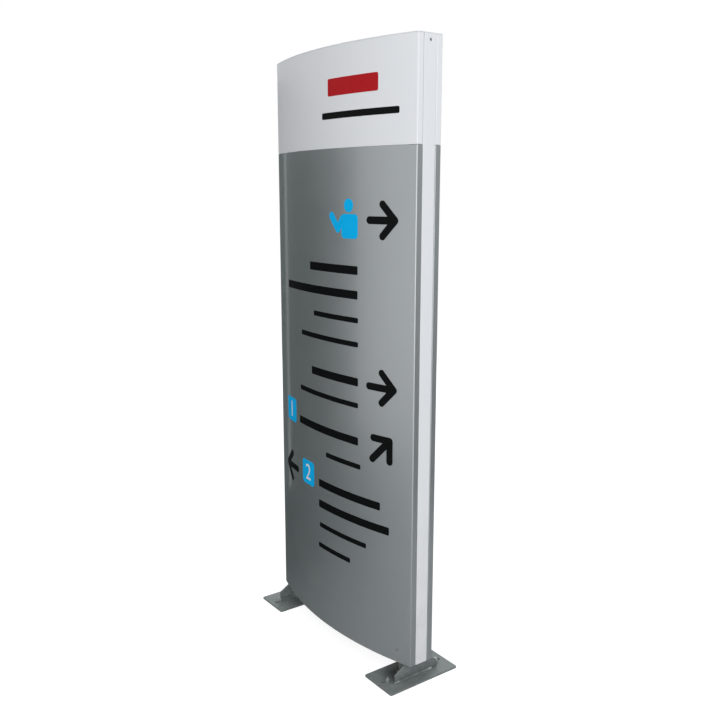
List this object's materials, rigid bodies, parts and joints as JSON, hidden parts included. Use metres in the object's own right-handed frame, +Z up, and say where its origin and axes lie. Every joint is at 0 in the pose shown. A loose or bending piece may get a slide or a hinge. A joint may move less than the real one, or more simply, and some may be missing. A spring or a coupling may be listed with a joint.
{
  "type": "totem sign",
  "caption": "Free-standing double-sided totem sign with curved faces, a light header over a grey panel, slim side profiles and welded feet on base plates.",
  "frame": {"origin": "on the ground, midway between the two feet", "axes": "+Z up, X across the width of the sign, -Y out of the front face"},
  "size_m": [0.81, 0.28, 2],
  "materials": {
    "grey_lacquer": "gloss",
    "white_lacquer": "gloss",
    "galvanised_steel": "satin",
    "mill_aluminium": "satin",
    "zinc_fastener": "satin"
  },
  "bodies": {
    "root": {"bottom_plate": "mill_aluminium", "bottom_plate_left_screw": "zinc_fastener", "bottom_plate_right_screw": "zinc_fastener", "bottom_rail": "galvanised_steel", "front_bottom_strip": "mill_aluminium", "front_header_shell": "white_lacquer", "front_joint_strip": "mill_aluminium", "front_left_shell_screw": "grey_lacquer", "front_main_shell": "grey_lacquer", "front_right_shell_screw": "grey_lacquer", "front_top_strip": "mill_aluminium", "joint_former": "mill_aluminium", "joint_former_left_screw": "zinc_fastener", "joint_former_right_screw": "zinc_fastener", "joint_rail": "galvanised_steel", "left_base_plate": "galvanised_steel", "left_cap_screw": "zinc_fastener", "left_front_levelling_nut": "zinc_fastener", "left_front_levelling_screw": "zinc_fastener", "left_front_lower_upright_screw": "zinc_fastener", "left_front_upper_upright_screw": "zinc_fastener", "left_gusset": "galvanised_steel", "left_post": "galvanised_steel", "left_rear_levelling_nut": "zinc_fastener", "left_rear_levelling_screw": "zinc_fastener", "left_rear_lower_upright_screw": "zinc_fastener", "left_rear_upper_upright_screw": "zinc_fastener", "left_upright": "white_lacquer", "lower_former": "mill_aluminium", "lower_former_left_screw": "zinc_fastener", "lower_former_right_screw": "zinc_fastener", "lower_rail": "galvanised_steel", "rear_bottom_strip": "mill_aluminium", "rear_header_shell": "white_lacquer", "rear_joint_strip": "mill_aluminium", "rear_left_shell_screw": "grey_lacquer", "rear_main_shell": "grey_lacquer", "rear_right_shell_screw": "grey_lacquer", "rear_top_strip": "mill_aluminium", "right_base_plate": "galvanised_steel", "right_cap_screw": "zinc_fastener", "right_front_levelling_nut": "zinc_fastener", "right_front_levelling_screw": "zinc_fastener", "right_front_lower_upright_screw": "zinc_fastener", "right_front_upper_upright_screw": "zinc_fastener", "right_gusset": "galvanised_steel", "right_post": "galvanised_steel", "right_rear_levelling_nut": "zinc_fastener", "right_rear_levelling_screw": "zinc_fastener", "right_rear_lower_upright_screw": "zinc_fastener", "right_rear_upper_upright_screw": "zinc_fastener", "right_upright": "white_lacquer", "top_cap": "white_lacquer", "top_rail": "galvanised_steel", "upper_former": "mill_aluminium", "upper_former_left_screw": "zinc_fastener", "upper_former_right_screw": "zinc_fastener", "upper_rail": "galvanised_steel"}
  },
  "joints": []
}
